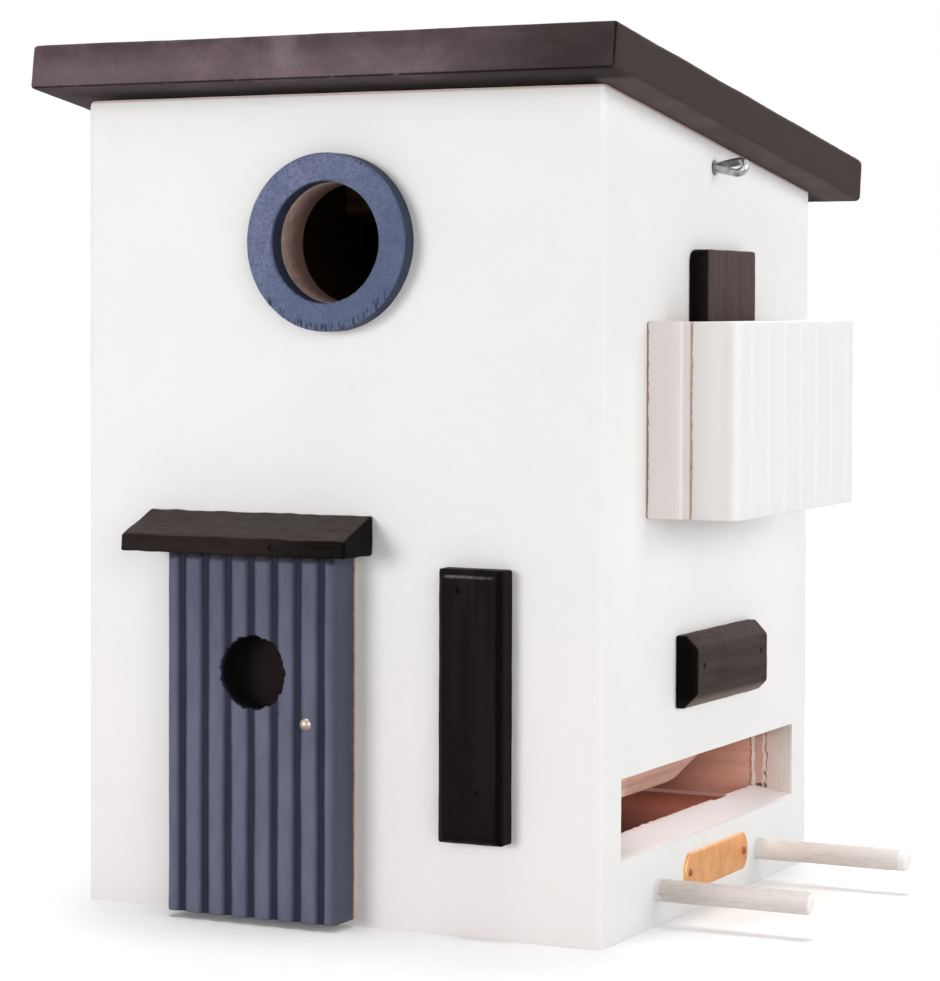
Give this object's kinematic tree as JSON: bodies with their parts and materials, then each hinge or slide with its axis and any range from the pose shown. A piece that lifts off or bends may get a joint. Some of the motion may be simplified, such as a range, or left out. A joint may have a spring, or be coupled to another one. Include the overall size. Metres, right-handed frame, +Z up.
{
  "type": "birdhouse",
  "caption": "Painted wooden nest box shaped like a white villa, with a lift-off sloping roof, a lift-out nest floor and a feeding slot with perches in one side.",
  "frame": {"origin": "centre of the body's underside, in the plane that the box stands on", "axes": "+Z up, the front wall with the entrance faces -Y, the feeding side faces +X"},
  "size_m": [0.2088, 0.1874, 0.2339],
  "materials": {
    "white_paint": "satin white paint",
    "roof_paint": "satin brown-black paint",
    "trim_paint": "satin brown-black stain over open grain",
    "ring_paint": "satin grey-blue paint",
    "door_paint": "satin grey-blue paint",
    "raw_wood": "sawn, unpainted",
    "dowel_wood": "bare dowel",
    "copper_plate": "brushed, copper-coloured",
    "zinc": "bright zinc",
    "steel": "plain wire nails"
  },
  "bodies": {
    "house": {"front_wall": "white_paint", "back_wall": "white_paint", "left_wall": "white_paint", "right_wall": "white_paint", "floor_board": "raw_wood", "rail_left": "raw_wood", "rail_right": "raw_wood", "entrance_ring": "ring_paint", "door_panel": "door_paint", "door_knob": "zinc", "door_canopy": "trim_paint", "front_window": "trim_paint", "side_window": "trim_paint", "balcony_door": "trim_paint", "balcony_cheek_front": "white_paint", "balcony_cheek_back": "white_paint", "balcony_front": "white_paint", "perch_front": "dowel_wood", "perch_back": "dowel_wood", "name_plate": "copper_plate", "plate_pins": "copper_plate", "split_pin_right": "zinc", "split_pin_left": "zinc", "wall_nails": "steel", "rail_nails": "steel", "trim_brads": "steel", "canopy_brad": "steel"},
    "nest_floor_board": {"nest_floor": "raw_wood"},
    "roof": {"roof_board": "roof_paint", "roof_batten_front": "raw_wood", "roof_batten_back": "raw_wood", "batten_nails": "steel"}
  },
  "joints": [
    {"name": "roof_lift", "type": "slide", "parent": "house", "child": "roof", "axis": [0, 0, 1], "range_m": [0, 0.08]},
    {"name": "nest_floor_lift", "type": "slide", "parent": "house", "child": "nest_floor_board", "axis": [0, 0, 1], "range_m": [0, 0.12]}
  ]
}
